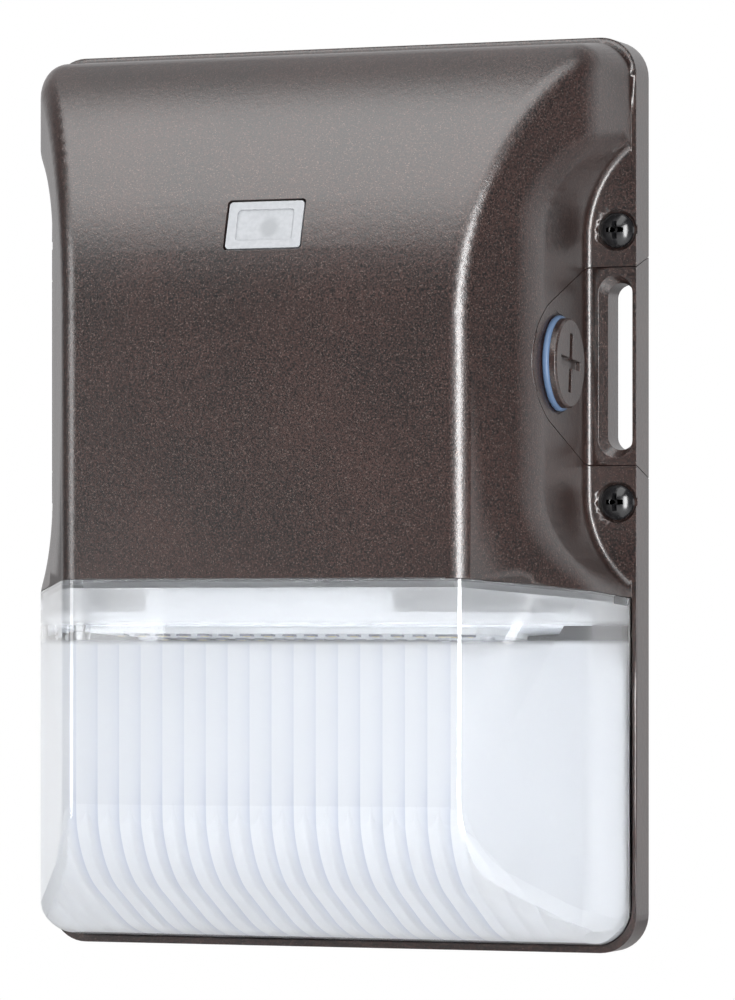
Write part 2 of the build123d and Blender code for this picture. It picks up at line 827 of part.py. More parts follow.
def reflector_block(shrink, rear, front):
    """Solid that keeps a gap from the lens's walls, between two depths."""
    belly_slope = (belly_height - foot_low) / (belly_depth - rim_depth)
    sections = []
    for depth in (rear, front):
        run = depth - rim_depth
        half = foot_half - run * tan(radians(wall_draft)) - lens_wall - reflector_gap - shrink
        low = foot_low + run * belly_slope + lens_wall + reflector_gap + shrink
        high = reflector_high - shrink
        plane = Plane(origin=(0, -depth, level((low + high) / 2)), x_dir=(1, 0, 0), z_dir=(0, -1, 0))
        sections.append(plane * RectangleRounded(2 * half, high - low, reflector_corner - shrink))
    return loft(sections, ruled=True)


def make_reflector_screws():
    head = seat_depth + floor_plate + reflector_stand_off + reflector_sheet
    tip = seat_depth + reflector_screw_floor
    return Compound(children=[small_screw(x, height, head, tip) for x, height in reflector_places()])


# Driver and wiring
def make_driver_case():
    rear = driver_front - driver_thick
    high = driver_low + driver_tall
    case = block((-driver_half_width, driver_half_width), (rear, driver_front), (driver_low, high))
    case = fillet(case.edges().filter_by(Axis.Y), driver_corner)
    wall = driver_tab_thickness
    half = driver_half_width - wall
    hollow = block((-half, half), (rear - past, driver_front - wall), (driver_low + wall, high - wall))
    middle = driver_low + driver_tall / 2
    reach = driver_half_width + driver_tab_reach
    span = (middle - driver_tab_half, middle + driver_tab_half)
    tab = block((-reach, reach), (driver_front - wall, driver_front), span)
    case = case - hollow + tab
    through = (rear, driver_front + past)
    for x in (-driver_tab_x, driver_tab_x):
        case = case - pin(x, middle, through, small_screw_radius + small_hole_play)
    return case


def make_driver_lid():
    rear = driver_front - driver_thick
    wall = driver_tab_thickness + 2 * snug_play
    high = driver_low + driver_tall
    half = driver_half_width - wall
    return block((-half, half), (rear, rear + driver_lid_thickness), (driver_low + wall, high - wall))


def make_driver_screws():
    middle = driver_low + driver_tall / 2
    head = driver_front - driver_tab_thickness
    tip = driver_front + small_screw_grip - past
    return Compound(children=[small_screw(x, middle, head, tip) for x in (-driver_tab_x, driver_tab_x)])


def make_led_leads():
    """Two leads from the driver down through the shelf to the board."""
    low = tray_top_height - tray_plate
    steps = (-lead_gap / 2, lead_gap / 2)
    span = (low, driver_low)
    leads = [post(led_lead_x + step, led_lead_depth, span, lead_radius) for step in steps]
    return Compound(children=leads)


def make_shelf_grommet():
    middle = parting_rim_height + (led_lead_depth - rim_depth) * parting_slope + shelf_thickness / 2
    half = shelf_thickness
    ring = post(led_lead_x, led_lead_depth, (middle - half, middle + half), grommet_radius - snug_play)
    span = (middle - lead_cut, middle + lead_cut)
    for step in (-lead_gap / 2, lead_gap / 2):
        ring = ring - post(led_lead_x + step, led_lead_depth, span, lead_radius + snug_play)
    return ring


def supply_places():
    """X of the three supply leads."""
    return [-supply_lead_pitch, 0, supply_lead_pitch]


def make_supply_leads():
    """Line, neutral and dimming leads that rise from the driver to their connectors."""
    low = driver_low + driver_tall
    span = (low, low + supply_lead_length)
    return Compound(children=[post(x, supply_lead_depth, span, lead_radius) for x in supply_places()])


def make_wire_nuts():
    low = driver_low + driver_tall + supply_lead_length
    middle = level(low + nut_length / 2)
    nut = Cone(nut_base_radius, nut_tip_radius, nut_length)
    return Compound(children=[Pos(x, -supply_lead_depth, middle) * nut for x in supply_places()])


def make_photocell_holder():
    back = -casting_wall - window_seat - window_flange_thickness
    bore = sensor_tube(photocell_radius + snug_play, back - 2 * holder_length, back + past)
    return sensor_tube(holder_radius, back - holder_length, back) - bore


def make_photocell():
    back = -casting_wall - window_seat - window_flange_thickness
    return sensor_tube(photocell_radius, back - photocell_length, back)


def make_photocell_leads():
    """Two leads from the photocell down to the top of the driver."""
    back = -casting_wall - window_seat - window_flange_thickness - photocell_length
    start = window_plane().offset(back - lead_radius / 2).origin
    end_z = level(driver_low + driver_tall + lead_radius / 2)
    leads = []
    for step in (-lead_gap / 2, lead_gap / 2):
        end = (step, -driver_front + photocell_lead_inset, end_z)
        leads.append(rod((step, start.Y, start.Z), end, photocell_lead_radius))
    return Compound(children=leads)


def make_ground_screw():
    return small_screw(ground_x, ground_height, ground_seat, back_wall / 2 + small_hole_play)


def build_nodes():
    """Every piece of the light by its name."""
    cover = filled_cover()
    nodes = {
        "back_box": make_back_box(cover),
        "front_housing": make_front_housing(cover),
        "lens": make_lens(),
        "lens_seal": make_lens_seal(),
        "housing_gasket": make_housing_gasket(),
        "wall_gasket": wall_gasket_ring(wall_gasket_thickness),
        "photocell_window": make_window(),
        "photocell_holder": make_photocell_holder(),
        "photocell": make_photocell(),
        "photocell_leads": make_photocell_leads(),
        "led_tray": make_led_tray(),
        "led_board": make_led_board(),
        "leds": make_leds(),
        "board_screws": make_board_screws(),
        "reflector": make_reflector(),
        "reflector_screws": make_reflector_screws(),
        "driver_case": make_driver_case(),
        "driver_lid": make_driver_lid(),
        "driver_screws": make_driver_screws(),
        "led_leads": make_led_leads(),
        "shelf_grommet": make_shelf_grommet(),
        "supply_leads": make_supply_leads(),
        "wire_nuts": make_wire_nuts(),
        "ground_screw": make_ground_screw(),
        "conduit_plug": make_plug(),
        "plug_seal": make_plug_seal(),
    }
    corners = ("right_upper", "right_lower", "left_upper", "left_lower")
    for corner, (x, height) in zip(corners, screw_places()):
        nodes["cover_screw_" + corner] = make_cover_screw(x, height)
        nodes["screw_washer_" + corner] = make_screw_washer(x, height)
    return nodes


os.makedirs("parts", exist_ok=True)
for name, shape in build_nodes().items():
    export_step(shape, "parts/" + name + ".step")
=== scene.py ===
from math import cos, pi, radians, sin, tan

import bmesh
import bpy
import numpy as np
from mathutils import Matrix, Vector


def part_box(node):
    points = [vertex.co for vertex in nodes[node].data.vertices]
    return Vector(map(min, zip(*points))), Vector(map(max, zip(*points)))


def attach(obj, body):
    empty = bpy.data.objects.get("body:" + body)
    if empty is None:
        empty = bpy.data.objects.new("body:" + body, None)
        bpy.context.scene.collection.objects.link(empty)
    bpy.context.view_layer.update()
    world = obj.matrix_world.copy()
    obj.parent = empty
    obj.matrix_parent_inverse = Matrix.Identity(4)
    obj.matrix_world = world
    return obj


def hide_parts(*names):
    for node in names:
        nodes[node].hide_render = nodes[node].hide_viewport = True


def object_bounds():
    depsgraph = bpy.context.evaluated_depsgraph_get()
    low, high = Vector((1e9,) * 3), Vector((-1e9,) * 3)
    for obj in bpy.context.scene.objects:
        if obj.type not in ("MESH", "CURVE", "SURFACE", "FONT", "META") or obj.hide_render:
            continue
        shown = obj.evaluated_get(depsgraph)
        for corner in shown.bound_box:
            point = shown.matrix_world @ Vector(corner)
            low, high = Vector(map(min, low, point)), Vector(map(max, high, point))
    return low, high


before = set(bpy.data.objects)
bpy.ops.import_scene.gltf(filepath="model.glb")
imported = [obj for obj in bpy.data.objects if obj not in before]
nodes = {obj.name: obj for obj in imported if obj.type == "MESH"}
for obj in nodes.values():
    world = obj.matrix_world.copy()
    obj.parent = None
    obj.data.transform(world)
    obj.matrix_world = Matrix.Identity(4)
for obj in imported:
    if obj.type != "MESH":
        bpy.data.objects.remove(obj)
cad_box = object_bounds()


# Back box and cover: die-cast aluminium with a baked dark bronze powder coat, which has a fine
# orange peel, sparse metallic flecks and soft edges. The moulds are wide and soft where the scoops
# are cut into the sides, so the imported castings' sharp scoop edges are rounded here.
millimetre = 0.001
bronze_dark = (0.0015, 0.0006, 0.0005, 1)
bronze_light = (0.031, 0.0135, 0.0105, 1)
fleck_colour = (0.24, 0.19, 0.17, 1)
cloud_scale = 38
peel_scale = 620
grit_scale = 2300
fleck_scale = 4600
fleck_share = 0.045
cast_edge = 0.00022


class Shade:
    """An output socket of a node tree, so that its maths reads as plain sums."""

    def __init__(self, tree, socket=None):
        self.tree = tree
        self.socket = socket

    def node(self, kind, settings=None, inputs=None, output=0):
        """Adds a node with its settings and its sockets' values or links, and gives one output."""
        made = self.tree.nodes.new(kind if "Node" in kind else "ShaderNode" + kind)
        for name, value in (settings or {}).items():
            setattr(made, name, value)
        for name, value in (inputs or {}).items():
            if isinstance(value, (Shade, list)):
                for source in value if isinstance(value, list) else [value]:
                    self.tree.links.new(source.socket, made.inputs[name])
            else:
                made.inputs[name].default_value = value
        return Shade(self.tree, made.outputs[output] if made.outputs else None)

    def maths(self, operation, *values):
        return self.node("Math", {"operation": operation}, dict(enumerate(values)))

    def __add__(self, other):
        return self.maths("ADD", self, other)

    def __sub__(self, other):
        return self.maths("SUBTRACT", self, other)

    def __rsub__(self, other):
        return self.maths("SUBTRACT", other, self)

    def __mul__(self, other):
        return self.maths("MULTIPLY", self, other)

    def __truediv__(self, other):
        return self.maths("DIVIDE", self, other)

    def __rtruediv__(self, other):
        return self.maths("DIVIDE", other, self)

    def __pow__(self, other):
        return self.maths("POWER", self, other)

    def __gt__(self, other):
        return self.maths("GREATER_THAN", self, other)

    def __lt__(self, other):
        return self.maths("LESS_THAN", self, other)

    __radd__ = __add__
    __rmul__ = __mul__

    def ramp(self, low, high):
        """A smooth step from 0 to 1 between two values."""
        settings = {"interpolation_type": "SMOOTHSTEP"}
        return self.node("MapRange", settings, {"Value": self, "From Min": low, "From Max": high})

    def blend(self, first, second):
        """A colour between two, by this factor."""
        settings = {"data_type": "RGBA", "clamp_factor": True}
        return self.node("Mix", settings, {0: self, 6: first, 7: second}, 2)


def new_material(name):
    """An empty material, and a Shade to add its nodes with."""
    material = bpy.data.materials.new(name)
    material.use_nodes = True
    material.node_tree.nodes.clear()
    return material, Shade(material.node_tree)


def close_material(shade, surface):
    """Puts the last shader on the material's output."""
    shade.node("OutputMaterial", None, {"Surface": surface})


def powder_coat(name, edge):
    """Dark powder coat whose edges look rounded by this radius."""
    material, shade = new_material(name)
    place = shade.node("TexCoord", None, None, 3)
    peel = shade.node("TexNoise", None, {"Vector": place, "Scale": peel_scale, "Detail": 2.0})
    grit = shade.node("TexNoise", None, {"Vector": place, "Scale": grit_scale, "Detail": 1.0})
    cloud = shade.node("TexNoise", None, {"Vector": place, "Scale": cloud_scale, "Detail": 3.0})
    cells = shade.node("TexVoronoi", None, {"Vector": place, "Scale": fleck_scale}, 1)
    pick = shade.node("SeparateColor", None, {"Color": cells})
    fleck = (pick > 1 - fleck_share) * 0.5
    tone = (cloud * 0.2 + grit * 0.8).ramp(0.36, 0.66)
    colour = fleck.blend(tone.blend(bronze_dark, bronze_light), fleck_colour)
    height = peel * 0.6 + grit * 0.4
    soft = shade.node("Bevel", {"samples": 4}, {"Radius": edge})
    bump = shade.node(
        "Bump", None, {"Strength": 0.9, "Distance": 0.0001, "Height": height, "Normal": soft}
    )
    surface = shade.node(
        "BsdfPrincipled",
        None,
        {
            "Base Color": colour,
            "Roughness": 0.26 + grit * 0.14,
            "Metallic": fleck,
            "Specular IOR Level": 1.0,
            "Normal": bump,
        },
    )
    close_material(shade, surface)
    return material


bronze_coat = powder_coat("bronze_powder_coat", cast_edge)

rim_depth = 10.7 * millimetre
scoop_wall = 70.1 * millimetre
scoop_radius = 31.4 * millimetre
scoop_half_length = 33.5 * millimetre
scoop_draft = radians(2.5)
wall_angle = radians(11.0)
band_angle = radians(32.5)
knee_radius = 20.0 * millimetre
knee_depth = 31.1 * millimetre
rim_lip = 1.4 * millimetre
soft_edge = 3.4 * millimetre
soft_edge_start = 5.0 * millimetre
finest_edge = 1.1 * millimetre
split_rounds = 9
settling_rounds = 4
scoop_reach = 1.6 * soft_edge
deepest_move = 4.0 * millimetre
least_slope = 0.25
flat_back = 0.99999
weld_distance = 0.002 * millimetre
crease_angle = radians(24)

entry_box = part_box("conduit_plug")
entry_level = (entry_box[0].z + entry_box[1].z) / 2
foot_half = cad_box[1].x - rim_lip
knee_half = foot_half - (knee_depth - rim_depth) * tan(wall_angle)
wall_normal = np.array((cos(wall_angle), sin(wall_angle)))
band_normal = np.array((cos(band_angle), sin(band_angle)))
wall_reach = wall_normal @ (foot_half, rim_depth)
band_reach = band_normal @ (knee_half, knee_depth)
knee_centre = np.linalg.solve(
    np.array((wall_normal, band_normal)),
    np.array((wall_reach - knee_radius, band_reach - knee_radius)),
)


def outside_body(points):
    """Distance of points outside the cover's side, as seen from above."""
    across = np.stack((np.abs(points[:, 0]), -points[:, 1]), axis=1)
    flat = np.maximum(across @ wall_normal - wall_reach, across @ band_normal - band_reach)
    arm = across - knee_centre
    turn = np.arctan2(arm[:, 1], arm[:, 0])
    bend = np.hypot(arm[:, 0], arm[:, 1]) - knee_radius
    return np.where((turn > wall_angle) & (turn < band_angle), bend, flat)


def inside_scoop(points):
    """Distance of points inside the scoop's drafted wall."""
    radius = scoop_radius + (-points[:, 1] - rim_depth) * tan(scoop_draft)
    rise = np.maximum(np.abs(points[:, 2] - entry_level) - scoop_half_length, 0)
    return radius - np.hypot(scoop_wall + scoop_radius - np.abs(points[:, 0]), rise)


def softened(points, radius):
    """The two distances joined by a soft edge, which fades out towards the rim."""
    near_rim = np.clip((-points[:, 1] - rim_depth) / soft_edge_start, 0, 1)
    radius = radius * near_rim * near_rim * (3 - 2 * near_rim) + 1e-7
    body = outside_body(points) + radius
    pocket = inside_scoop(points) + radius
    corner = np.hypot(np.maximum(body, 0), np.maximum(pocket, 0))
    return np.minimum(np.maximum(body, pocket), 0) + corner - radius


def coordinates(mesh_vertices):
    """The places of a mesh's vertices, one row each."""
    return np.array([vertex.co for vertex in mesh_vertices])


def refine_near_scoops(shape):
    """Splits the long edges near the scoops' edges until they can follow a soft rounding."""
    for _ in range(split_rounds):
        shape.verts.index_update()
        places = coordinates(shape.verts)
        tips = np.array([[vertex.index for vertex in edge.verts] for edge in shape.edges])
        first, second = places[tips[:, 0]], places[tips[:, 1]]
        long_edge = np.linalg.norm(second - first, axis=1) > finest_edge
        reached = np.zeros(len(tips), bool)
        for part in np.linspace(0, 1, 9):
            point = first * (1 - part) + second * part
            close = np.minimum(outside_body(point), inside_scoop(point)) > -scoop_reach
            reached |= close & (-point[:, 1] > rim_depth)
        cut = [edge for edge, wanted in zip(list(shape.edges), long_edge & reached) if wanted]
        if not cut:
            break
        bmesh.ops.subdivide_edges(shape, edges=cut, cuts=1)
        bmesh.ops.triangulate(shape, faces=[face for face in shape.faces if len(face.verts) > 3])


def soft_casting(node, name):
    """A copy of a CAD casting with its scoop edges rounded: each point moves until it is as far
    from the soft surface as it was from the sharp one."""
    shape = bmesh.new()
    shape.from_mesh(nodes[node].data)
    bmesh.ops.remove_doubles(shape, verts=shape.verts, dist=weld_distance)
    refine_near_scoops(shape)
    places = coordinates(shape.verts)
    wanted = softened(places, 0)
    probe = 0.01 * millimetre
    for _ in range(settling_rounds):
        here = softened(places, soft_edge)
        slopes = []
        for axis in np.eye(3):
            ahead = softened(places + probe * axis, soft_edge)
            behind = softened(places - probe * axis, soft_edge)
            slopes.append((ahead - behind) / (2 * probe))
        slope = np.stack(slopes, axis=1)
        steep = np.maximum((slope**2).sum(axis=1), least_slope)
        near = (wanted > -deepest_move) & (-places[:, 1] > rim_depth)
        places = places - slope * (near * (here - wanted) / steep)[:, None]
    for vertex, place in zip(shape.verts, places):
        vertex.co = place
    mesh = bpy.data.meshes.new(name)
    shape.to_mesh(mesh)
    shape.free()
    mesh.shade_smooth()
    mesh.set_sharp_from_angle(angle=crease_angle)
    for face in mesh.polygons:
        if face.normal.y > flat_back:
            face.use_smooth = False
    mesh.materials.clear()
    mesh.materials.append(bronze_coat)
    piece = bpy.data.objects.new(name, mesh)
    bpy.context.scene.collection.objects.link(piece)
    even = piece.modifiers.new("even_shading", "WEIGHTED_NORMAL")
    even.keep_sharp = True
    return piece


cover_piece = soft_casting("front_housing", "cover")
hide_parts("front_housing")
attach(cover_piece, "cover")

# The back box's conduit entry and its blank twin lie flush in the scoops, so they are rounded too.
box_piece = soft_casting("back_box", "wall_box")
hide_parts("back_box")
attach(box_piece, "back_box")


# Gaskets: black closed-cell foam on the back box and behind it, a pale silicone bead round the
# lens, and black rubber for the screws' washers, the shelf's grommet and the photocell's holder.
def dress(names, material):
    """Gives a CAD node, or several, its material."""
    for name in names:
        nodes[name].material_slots[0].material = material


def moulded(name, colour, roughness, grain_scale, grain_depth, spread=0.12):
    """Plain moulded plastic or rubber: a fine grain, and slightly uneven colour and gloss."""
    material, shade = new_material(name)
    place = shade.node("TexCoord", None, None, 3)
    grain = shade.node("TexNoise", None, {"Vector": place, "Scale": grain_scale, "Detail": 3.0})
    patch = shade.node("TexNoise", None, {"Vector": place, "Scale": 60, "Detail": 2.0})
    darker = tuple(c * (1 - spread) for c in colour[:3]) + (1,)
    bump = shade.node("Bump", None, {"Strength": 0.4, "Distance": grain_depth, "Height": grain})
    surface = shade.node(
        "BsdfPrincipled",
        None,
        {
            "Base Color": patch.ramp(0.3, 0.7).blend(darker, colour),
            "Roughness": roughness + grain * 0.1,
            "Normal": bump,
        },
    )
    close_material(shade, surface)
    return material


foam = moulded("black_foam", (0.030, 0.030, 0.031, 1), 0.8, 1500, 0.0002, 0.3)
rubber = moulded("black_rubber", (0.024, 0.024, 0.025, 1), 0.5, 900, 0.00005, 0.2)
clear_bead = moulded("silicone_bead", (0.86, 0.89, 0.94, 1), 0.4, 500, 0.00003)
dress(["housing_gasket", "wall_gasket"], foam)
dress(["shelf_grommet", "photocell_holder"], rubber)
dress(["lens_seal"], clear_bead)
corners = ("right_upper", "right_lower", "left_upper", "left_lower")
dress(["screw_washer_" + corner for corner in corners], rubber)


# Lamp engine: a white board under a folded aluminium tray with a baked white finish. Two screws
# hang them from the cover's shelf, and the tray's front face shows through the lens.
tray_white = moulded("tray_white", (0.90, 0.92, 0.95, 1), 0.45, 700, 0.00003, 0.04)
board_white = moulded("board_solder_mask", (0.82, 0.83, 0.83, 1), 0.35, 500, 0.00002, 0.05)
dress(["led_tray"], tray_white)
dress(["led_board"], board_white)


# Reflector: a white moulded pan with drafted walls behind the lens. Four screws hold it to the
# cover's floor.
reflector_white = moulded("reflector_white", (0.90, 0.92, 0.96, 1), 0.35, 300, 0.00003, 0.03)
dress(["reflector"], reflector_white)


# Small steel screws: zinc-plated pan heads with cross recesses hold the board, the reflector and
# the driver. The ground screw in the back box is the same size, dyed green.
def plated(name, colour, roughness):
    """Plated or bare metal with a faint brushed grain."""
    material, shade = new_material(name)
    place = shade.node("TexCoord", None, None, 3)
    stretched = shade.node("Mapping", None, {"Vector": place, "Scale": (1, 40, 1)})
    grain = shade.node("TexNoise", None, {"Vector": stretched, "Scale": 700, "Detail": 3.0})
    patch = shade.node("TexNoise", None, {"Vector": place, "Scale": 90, "Detail": 2.0})
    darker = tuple(c * 0.8 for c in colour[:3]) + (1,)
    bump = shade.node("Bump", None, {"Strength": 0.2, "Distance": 0.00003, "Height": grain})
    surface = shade.node(
        "BsdfPrincipled",
        None,
        {
            "Base Color": patch.ramp(0.3, 0.7).blend(darker, colour),
            "Roughness": roughness + grain * 0.15,
            "Metallic": 1.0,
            "Normal": bump,
        },
    )
    close_material(shade, surface)
    return material


zinc = plated("zinc_plate", (0.62, 0.62, 0.64, 1), 0.25)
green_dye = plated("green_ground_screw", (0.05, 0.36, 0.13, 1), 0.3)
small_crease = radians(35)


class Growth:
    """A Geometry Nodes tree with named sizes, whose result is kept as a plain mesh."""

    def __init__(self, name, sizes):
        self.tree = bpy.data.node_groups.new(name, "GeometryNodeTree")
        self.keys = {}
        interface = self.tree.interface
        interface.new_socket("Geometry", in_out="INPUT", socket_type="NodeSocketGeometry")
        interface.new_socket("Geometry", in_out="OUTPUT", socket_type="NodeSocketGeometry")
        for label in sizes:
            made = interface.new_socket(label, in_out="INPUT", socket_type="NodeSocketFloat")
            self.keys[label] = made.identifier
        paint = interface.new_socket("Finish", in_out="INPUT", socket_type="NodeSocketMaterial")
        self.keys["Finish"] = paint.identifier
        self.start = self.tree.nodes.new("NodeGroupInput")

    def given(self, label):
        """One of the tree's own inputs."""
        return Shade(self.tree, self.start.outputs[label])

    def node(self, kind, settings=None, inputs=None, output=0):
        """Adds a Geometry Nodes node."""
        return Shade(self.tree).node("GeometryNode" + kind, settings, inputs, output)

    def triple(self, x=0.0, y=0.0, z=0.0):
        """A vector of three numbers or fields."""
        return Shade(self.tree).node("CombineXYZ", None, {"X": x, "Y": y, "Z": z})

    def close(self, geometry):
        """Real copies in the tree's own finish end the tree."""
        real = self.node("RealizeInstances", None, {"Geometry": geometry})
        done = self.node("SetMaterial", None, {"Geometry": real, "Material": self.given("Finish")})
        end = self.tree.nodes.new("NodeGroupOutput")
        self.tree.links.new(done.socket, end.inputs[0])

    def grown(self, name, places, values):
        """A plain mesh object that the tree makes from points at these places."""
        seeds = bpy.data.meshes.new(name + "_places")
        seeds.from_pydata(places, [], [])
        carrier = bpy.data.objects.new(name + "_places", seeds)
        bpy.context.scene.collection.objects.link(carrier)
        modifier = carrier.modifiers.new("growth", "NODES")
        modifier.node_group = self.tree
        for label, value in values.items():
            modifier[self.keys[label]] = value
        ready = carrier.evaluated_get(bpy.context.evaluated_depsgraph_get())
        mesh = bpy.data.meshes.new_from_object(ready)
        carrier.modifiers.remove(modifier)
        bpy.data.objects.remove(carrier)
        mesh.name = name
        mesh.shade_smooth()
        mesh.set_sharp_from_angle(angle=small_crease)
        piece = bpy.data.objects.new(name, mesh)
        bpy.context.scene.collection.objects.link(piece)
        return piece


screw_tree = Growth(
    "cross_recess_screw",
    (
        "Head Radius",
        "Head Height",
        "Head Roundness",
        "Shank Radius",
        "Shank Length",
        "Thread Pitch",
        "Recess Reach",
        "Recess Depth",
        "Tilt",
    ),
)
head_radius = screw_tree.given("Head Radius")
head_height = screw_tree.given("Head Height")
roundness = screw_tree.given("Head Roundness")
shank_radius = screw_tree.given("Shank Radius")
shank_length = screw_tree.given("Shank Length")
thread_pitch = screw_tree.given("Thread Pitch")
recess_reach = screw_tree.given("Recess Reach")
recess_depth = screw_tree.given("Recess Depth")

dome_steps = 20
rim_steps = 40
flat_top = 0.001
axis_line = screw_tree.node("CurvePrimitiveLine", None, {"End": (0, 0, 1)})
axis_steps = screw_tree.node("ResampleCurve", None, {"Curve": axis_line, "Count": dome_steps})
along = screw_tree.node("SplineParameter")
climb = 1 - (1 - along) ** 2
dome = (1 - climb**roundness) ** (1 / roundness)
stand = screw_tree.triple(z=head_height * climb)
head_axis = screw_tree.node("SetPosition", None, {"Geometry": axis_steps, "Position": stand})
ring = screw_tree.node("CurvePrimitiveCircle", None, {"Resolution": rim_steps, "Radius": 1.0})
head = screw_tree.node(
    "CurveToMesh",
    None,
    {
        "Curve": head_axis,
        "Profile Curve": ring,
        "Scale": head_radius * (dome * (1 - flat_top) + flat_top),
        "Fill Caps": True,
    },
)

wing_taper = 0.35
wing_share = 0.26
wing_overshoot = 1.2
wing = screw_tree.node(
    "MeshCone",
    None,
    {"Vertices": 4, "Radius Top": 1.0, "Radius Bottom": wing_taper, "Depth": recess_depth * wing_overshoot},
)
wing = screw_tree.node("Transform", None, {"Geometry": wing, "Rotation": (0, 0, pi / 4)})
half_wing = recess_reach * 0.5 / cos(pi / 4)
wing_scale = screw_tree.triple(half_wing, half_wing * wing_share, 1.0)
wing_place = screw_tree.triple(z=head_height - recess_depth)
wing = screw_tree.node(
    "Transform", None, {"Geometry": wing, "Scale": wing_scale, "Translation": wing_place}
)
other_wing = screw_tree.node("Transform", None, {"Geometry": wing, "Rotation": (0, 0, pi / 2)})
head = screw_tree.node(
    "MeshBoolean", {"operation": "DIFFERENCE"}, {"Mesh 1": head, "Mesh 2": [wing, other_wing]}
)

shank = screw_tree.node(
    "MeshCylinder", None, {"Vertices": 24, "Radius": shank_radius, "Depth": shank_length}
)
sink = screw_tree.triple(z=shank_length * -0.5)
shank = screw_tree.node("Transform", None, {"Geometry": shank, "Translation": sink})
helix = screw_tree.node(
    "CurveSpiral",
    None,
    {
        "Resolution": 20,
        "Rotations": shank_length / thread_pitch,
        "Start Radius": shank_radius,
        "End Radius": shank_radius,
        "Height": shank_length,
    },
)
ridge_radius = thread_pitch * 0.4
ridge = screw_tree.node("CurvePrimitiveCircle", None, {"Resolution": 3, "Radius": ridge_radius})
thread = screw_tree.node(
    "CurveToMesh", None, {"Curve": helix, "Profile Curve": ridge, "Fill Caps": True}
)
sink = screw_tree.triple(z=shank_length * -1)
thread = screw_tree.node("Transform", None, {"Geometry": thread, "Translation": sink})

screw = screw_tree.node("JoinGeometry", None, {"Geometry": [head, shank, thread]})
tilt = screw_tree.triple(x=screw_tree.given("Tilt"))
turned = tilt.node("FunctionNodeEulerToRotation", None, {"Euler": tilt})
screws = screw_tree.node(
    "InstanceOnPoints",
    None,
    {"Points": screw_tree.given("Geometry"), "Instance": screw, "Rotation": turned},
)
screw_tree.close(screws)

facing_front = pi / 2
facing_back = -pi / 2
facing_down = pi
thread_inset = 0.30


def head_middles(low, high, radius):
    """Middles of the heads at both ends of a span, or of the one head in it."""
    if high - low < 3 * radius:
        return [(low + high) / 2]
    return [low + radius, high - radius]


def fit_screws(node, body, finish, sizes, tilt):
    """Screws with real recesses and threads, at the places of a CAD node's plain ones."""
    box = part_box(node)
    radius, height = sizes["Head Radius"], sizes["Head Height"]
    if tilt == facing_down:
        under = box[0].z + height
        length = box[1].z - under
        middle = (box[0].y + box[1].y) / 2
        places = [(x, middle, under) for x in head_middles(box[0].x, box[1].x, radius)]
    else:
        under = box[0].y + height if tilt == facing_front else box[1].y - height
        length = box[1].y - box[0].y - height
        places = [
            (x, under, z)
            for x in head_middles(box[0].x, box[1].x, radius)
            for z in head_middles(box[0].z, box[1].z, radius)
        ]
    pitch = sizes["Thread Pitch"]
    values = dict(sizes, Tilt=tilt, Finish=finish)
    values["Shank Length"] = length
    values["Shank Radius"] = sizes["Shank Radius"] - thread_inset * pitch
    piece = screw_tree.grown("detailed_" + node, places, values)
    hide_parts(node)
    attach(piece, body)


small_screw = {
    "Head Radius": 2.9 * millimetre,
    "Head Height": 1.9 * millimetre,
    "Head Roundness": 3.2,
    "Shank Radius": 1.4 * millimetre,
    "Thread Pitch": 0.7 * millimetre,
    "Recess Reach": 3.4 * millimetre,
    "Recess Depth": 1.2 * millimetre,
}
fit_screws("board_screws", "cover", zinc, small_screw, facing_down)
fit_screws("reflector_screws", "cover", zinc, small_screw, facing_front)
fit_screws("driver_screws", "cover", zinc, small_screw, facing_back)
fit_screws("ground_screw", "back_box", green_dye, small_screw, facing_front)


# LEDs: two rows of square packages soldered under the board. Each is a plastic body with a low dome
# of yellow phosphor, and the board's shade on the bodies is painted into them as a grey colour.
led_columns = 16
package_size = 3.0 * millimetre
package_height = 0.58 * millimetre
dome_height = 0.12 * millimetre
dome_radius = 1.2 * millimetre
led_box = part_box("leds")

package_tree = Growth("led_package", ("Size", "Height", "Dome Radius", "Dome Height"))
body_size = package_tree.given("Size")
body_height = package_tree.given("Height")
ball_radius = package_tree.given("Dome Radius")
measures = package_tree.triple(body_size, body_size, body_height)
package = package_tree.node("MeshCube", None, {"Size": measures})
drop = package_tree.triple(z=body_height * -0.5)
package = package_tree.node("Transform", None, {"Geometry": package, "Translation": drop})
ball_sizes = {"Segments": 20, "Rings": 10, "Radius": ball_radius}
ball = package_tree.node("MeshUVSphere", None, ball_sizes)
flat = package_tree.triple(1.0, 1.0, package_tree.given("Dome Height") / ball_radius)
drop = package_tree.triple(z=body_height * -1)
ball = package_tree.node("Transform", None, {"Geometry": ball, "Scale": flat, "Translation": drop})
package = package_tree.node("JoinGeometry", None, {"Geometry": [package, ball]})
packages = package_tree.node(
    "InstanceOnPoints", None, {"Points": package_tree.given("Geometry"), "Instance": package}
)
package_tree.close(packages)

led_finish, shade = new_material("led_package")
place = shade.node("TexCoord", None, None, 3)
level = shade.node("SeparateXYZ", None, {"Vector": place}, 2)
speckle = shade.node("TexNoise", None, {"Vector": place, "Scale": 2600, "Detail": 2.0})
yellow = speckle.ramp(0.3, 0.7).blend((0.74, 0.55, 0.10, 1), (0.88, 0.74, 0.22, 1))
# Painted shade: the bodies are coloured grey for the board's shade over them.
body = speckle.ramp(0.3, 0.7).blend((0.20, 0.20, 0.235, 1), (0.27, 0.27, 0.31, 1))
in_dome = level < led_box[1].z - package_height
grain = shade.node("Bump", None, {"Strength": 0.2, "Distance": 0.00001, "Height": speckle})
surface = shade.node(
    "BsdfPrincipled",
    None,
    {"Base Color": in_dome.blend(body, yellow), "Roughness": 0.35 + speckle * 0.1, "Normal": grain},
)
close_material(shade, surface)

